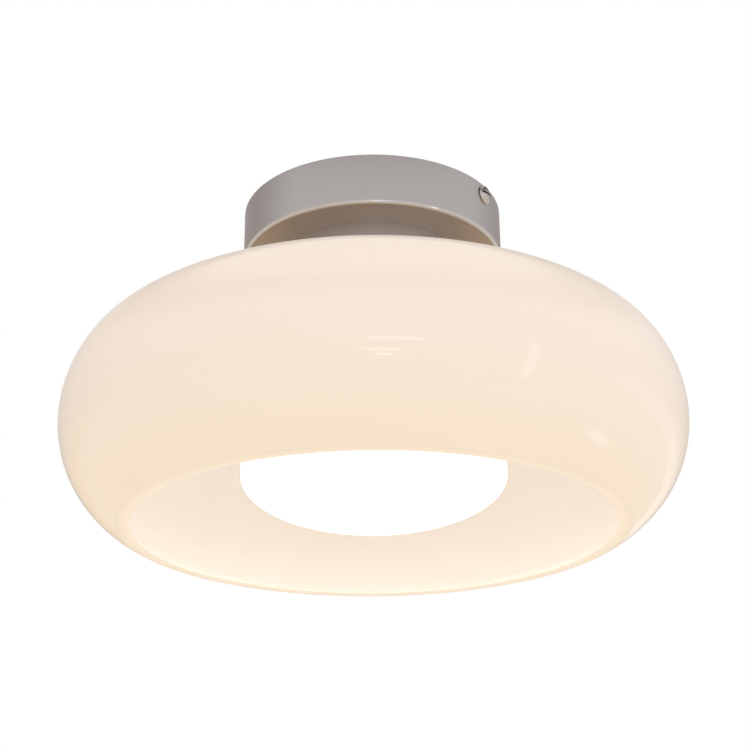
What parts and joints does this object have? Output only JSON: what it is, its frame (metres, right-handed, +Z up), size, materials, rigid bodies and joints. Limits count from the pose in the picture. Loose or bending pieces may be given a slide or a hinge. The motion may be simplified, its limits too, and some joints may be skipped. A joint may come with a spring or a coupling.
{
  "type": "glass ceiling light",
  "caption": "Semi-flush ceiling light: round satin metal canopy, narrow collar and an oblate opal glass shade, open below, round a wide low screw-in lamp.",
  "frame": {"origin": "centre of the ceiling plane, between the two ceiling slots, level with the bracket's top face and the canopy's rim", "axes": "+Z up into the ceiling; X along the bracket, through the two side screws of the canopy"},
  "size_m": [0.2999, 0.3, 0.1667],
  "materials": {
    "satin_chrome": "satin chrome plate",
    "zinc_steel": "zinc plated",
    "brass": "turned",
    "opal_glass": "polished opal glass",
    "natural_nylon": "moulded",
    "black_thermoset": "moulded",
    "porcelain": "glazed",
    "silicone_rubber": "moulded",
    "brown_insulation": "extruded",
    "blue_insulation": "extruded",
    "solder": "cast",
    "black_glass": "cast glass",
    "nickel_shell": "nickel plated",
    "white_enamel": "powder coated",
    "circuit_board": "white solder mask",
    "led_phosphor": "cast",
    "capacitor_sleeve": "shrunk sleeve",
    "transformer_tape": "wound tape",
    "tinned_copper": "drawn",
    "lit_diffuser": "moulded opal, lit"
  },
  "bodies": {
    "fixture": {"ceiling_bracket": "zinc_steel", "canopy": "satin_chrome", "terminal_block": "natural_nylon", "terminal_sleeves": "brass", "terminal_screws": "brass", "block_screw": "zinc_steel", "earth_screw": "brass", "earth_washer": "zinc_steel", "nipple": "zinc_steel", "lock_washer": "zinc_steel", "nipple_nut": "zinc_steel", "collar": "satin_chrome", "collar_gasket": "silicone_rubber", "shade": "opal_glass", "shade_gasket": "silicone_rubber", "lampholder_cap": "black_thermoset", "lampholder_skirt": "black_thermoset", "lampholder_insert": "porcelain", "holder_terminal_screws": "brass", "screw_shell": "brass", "centre_contact": "brass", "live_wire": "brown_insulation", "neutral_wire": "blue_insulation"},
    "shade_ring": {"shade_ring": "black_thermoset"},
    "canopy_screw_right": {"canopy_screw_right": "satin_chrome"},
    "canopy_screw_left": {"canopy_screw_left": "satin_chrome"},
    "lamp": {"lamp_tip_contact": "solder", "lamp_cap_insulator": "black_glass", "lamp_cap_shell": "nickel_shell", "lamp_housing": "white_enamel", "led_board": "circuit_board", "led_chips": "led_phosphor", "board_screws": "zinc_steel", "driver_board": "circuit_board", "driver_capacitor": "capacitor_sleeve", "driver_transformer": "transformer_tape", "lamp_leads": "tinned_copper", "diffuser": "lit_diffuser"}
  },
  "joints": [
    {"name": "lamp_turn", "type": "hinge", "parent": "fixture", "child": "lamp", "pos_m": [0, 0, -0.076], "axis": [0, 0, -1], "range_deg": [0, 1440]},
    {"name": "shade_ring_turn", "type": "hinge", "parent": "fixture", "child": "shade_ring", "pos_m": [0, 0, -0.0713], "axis": [0, 0, -1], "range_deg": [0, 1800]},
    {"name": "canopy_screw_right_turn", "type": "hinge", "parent": "fixture", "child": "canopy_screw_right", "pos_m": [0.065, 0, -0.0054], "axis": [1, 0, 0], "range_deg": [0, 3240]},
    {"name": "canopy_screw_left_turn", "type": "hinge", "parent": "fixture", "child": "canopy_screw_left", "pos_m": [-0.065, 0, -0.0054], "axis": [-1, 0, 0], "range_deg": [0, 3240]}
  ]
}
